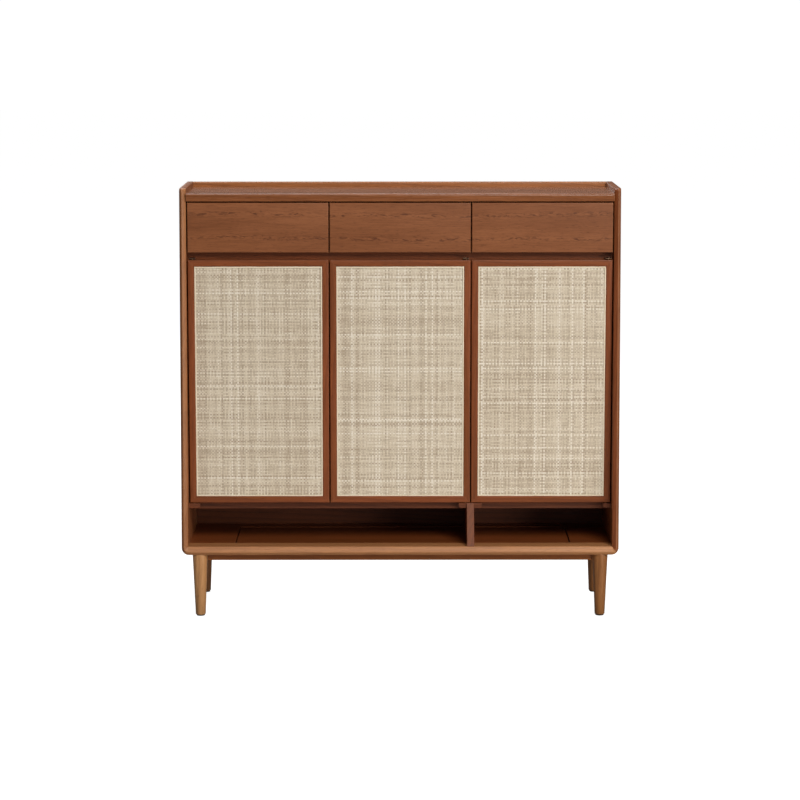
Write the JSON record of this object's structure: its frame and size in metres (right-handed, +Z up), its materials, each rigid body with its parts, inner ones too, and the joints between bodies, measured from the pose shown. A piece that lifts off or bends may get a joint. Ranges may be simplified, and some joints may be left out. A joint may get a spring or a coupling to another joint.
{
  "type": "shoe cabinet",
  "caption": "Low free-standing shoe cabinet with woven rattan doors, handle-less drawers above, an open niche below and turned, tapered legs.",
  "frame": {"origin": "on the floor under the middle of the cabinet", "axes": "+Z up, the doors face -Y, +X to the right as seen from the front"},
  "size_m": [1.2, 0.36, 1.176],
  "materials": {
    "stained_wood": "satin lacquer over a red-brown stain",
    "turned_wood": "satin lacquer, lighter",
    "plain_wood": "clear matt lacquer",
    "rattan": "woven split rattan",
    "cane": "peeled cane",
    "steel": "blackened",
    "felt": "felt",
    "catch_plastic": "matt"
  },
  "bodies": {
    "case": {"side_left": "stained_wood", "side_right": "stained_wood", "top_panel": "stained_wood", "gallery": "stained_wood", "base_front": "stained_wood", "base_rear": "stained_wood", "base_centre": "stained_wood", "base_end_left": "stained_wood", "base_end_right": "stained_wood", "apron_front": "stained_wood", "apron_back": "stained_wood", "apron_sides": "stained_wood", "leg_front_left": "turned_wood", "leg_front_right": "turned_wood", "leg_back_left": "turned_wood", "leg_back_right": "turned_wood", "leg_bolts": "steel", "foot_pads": "felt", "niche_divider": "stained_wood", "divider": "stained_wood", "floor_left": "stained_wood", "floor_right": "stained_wood", "corner_blocks": "stained_wood", "top_brackets": "steel", "catch_magnets": "catch_plastic", "mid_rail": "stained_wood", "deck": "stained_wood", "drawer_partitions": "stained_wood", "drawer_runners": "plain_wood", "back_panel": "stained_wood", "shelves_wide": "stained_wood", "shelves_narrow": "stained_wood", "shelf_pins": "steel"},
    "door_left": {"door_left_stiles": "stained_wood", "door_left_rails": "stained_wood", "door_left_rattan": "rattan", "door_left_spline": "cane", "door_left_pivots": "steel"},
    "door_centre": {"door_centre_stiles": "stained_wood", "door_centre_rails": "stained_wood", "door_centre_rattan": "rattan", "door_centre_spline": "cane", "door_centre_pivots": "steel"},
    "door_right": {"door_right_stiles": "stained_wood", "door_right_rails": "stained_wood", "door_right_rattan": "rattan", "door_right_spline": "cane", "door_right_pivots": "steel"},
    "drawer_left": {"drawer_left_front": "stained_wood", "drawer_left_sides": "plain_wood", "drawer_left_back": "plain_wood", "drawer_left_bottom": "plain_wood"},
    "drawer_centre": {"drawer_centre_front": "stained_wood", "drawer_centre_sides": "plain_wood", "drawer_centre_back": "plain_wood", "drawer_centre_bottom": "plain_wood"},
    "drawer_right": {"drawer_right_front": "stained_wood", "drawer_right_sides": "plain_wood", "drawer_right_back": "plain_wood", "drawer_right_bottom": "plain_wood"}
  },
  "joints": [
    {"name": "door_left_hinge", "type": "hinge", "parent": "case", "child": "door_left", "pos_m": [-0.567, -0.1205, 0.6455], "axis": [0, 0, -1], "range_deg": [0, 90]},
    {"name": "door_centre_hinge", "type": "hinge", "parent": "case", "child": "door_centre", "pos_m": [0.18, -0.1205, 0.6455], "axis": [0, 0, 1], "range_deg": [0, 90]},
    {"name": "door_right_hinge", "type": "hinge", "parent": "case", "child": "door_right", "pos_m": [0.567, -0.1205, 0.6455], "axis": [0, 0, 1], "range_deg": [0, 90]},
    {"name": "drawer_left_slide", "type": "slide", "parent": "case", "child": "drawer_left", "axis": [0, -1, 0], "range_m": [0, 0.2]},
    {"name": "drawer_centre_slide", "type": "slide", "parent": "case", "child": "drawer_centre", "axis": [0, -1, 0], "range_m": [0, 0.2]},
    {"name": "drawer_right_slide", "type": "slide", "parent": "case", "child": "drawer_right", "axis": [0, -1, 0], "range_m": [0, 0.2]}
  ]
}
